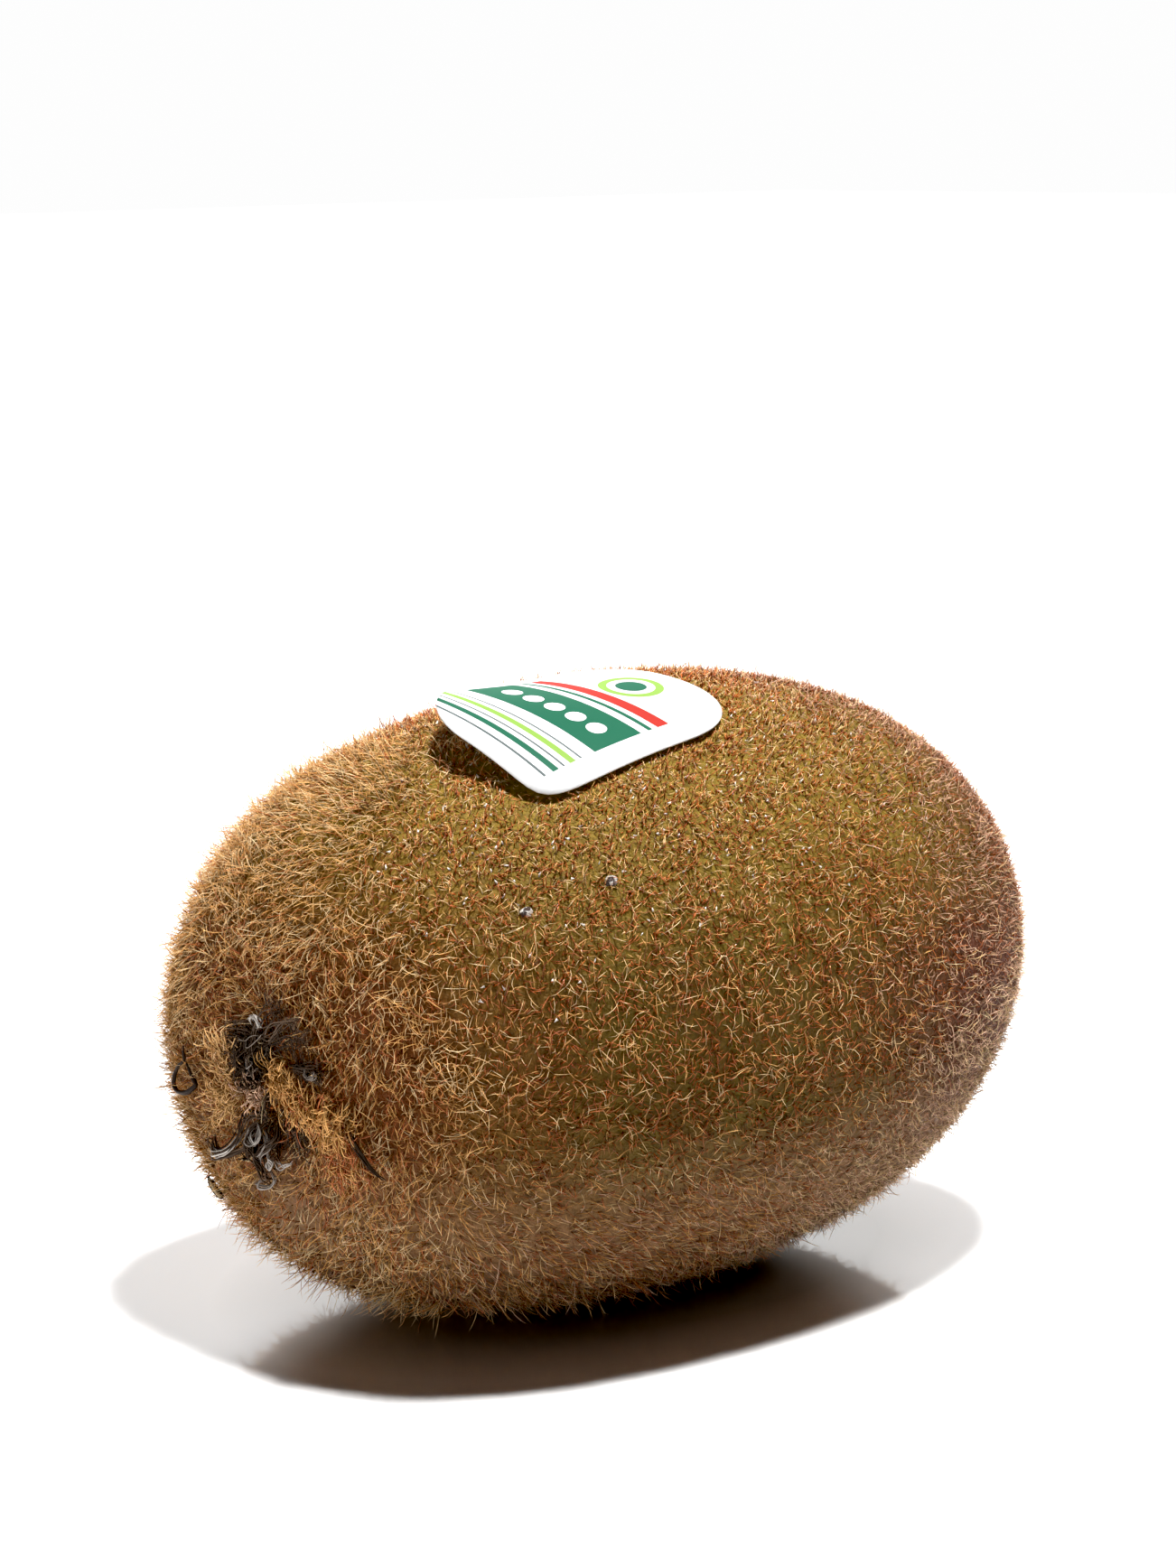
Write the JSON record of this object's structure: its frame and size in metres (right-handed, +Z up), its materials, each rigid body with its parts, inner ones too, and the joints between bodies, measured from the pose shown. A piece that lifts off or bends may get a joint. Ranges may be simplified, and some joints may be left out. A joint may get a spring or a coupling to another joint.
{
  "type": "kiwi fruit",
  "caption": "Fuzzy brown kiwi fruit lying on its side, with dried styles at the blossom end, a stem button and a plain paper label.",
  "frame": {"origin": "on the ground plane, on the flat spot under the belly, below the middle of the fruit's length", "axes": "+Z up, +X along the fruit from the blossom end to the stem end, -Y towards the side that the label leans to"},
  "size_m": [0.0708, 0.0523, 0.0469],
  "materials": {
    "skin": "matte, fuzzy, olive brown",
    "dried_style": "dry, dark brown to black",
    "stem_wood": "rough, woody brown",
    "label_paper": "smooth coated paper, white"
  },
  "bodies": {
    "root": {"fruit": "skin", "dried_styles_upper": "dried_style", "dried_styles_side": "dried_style", "dried_styles_lower": "dried_style", "stray_style_loop": "dried_style", "stray_style_thread": "dried_style", "stem_button": "stem_wood", "produce_label": "label_paper"}
  },
  "joints": []
}
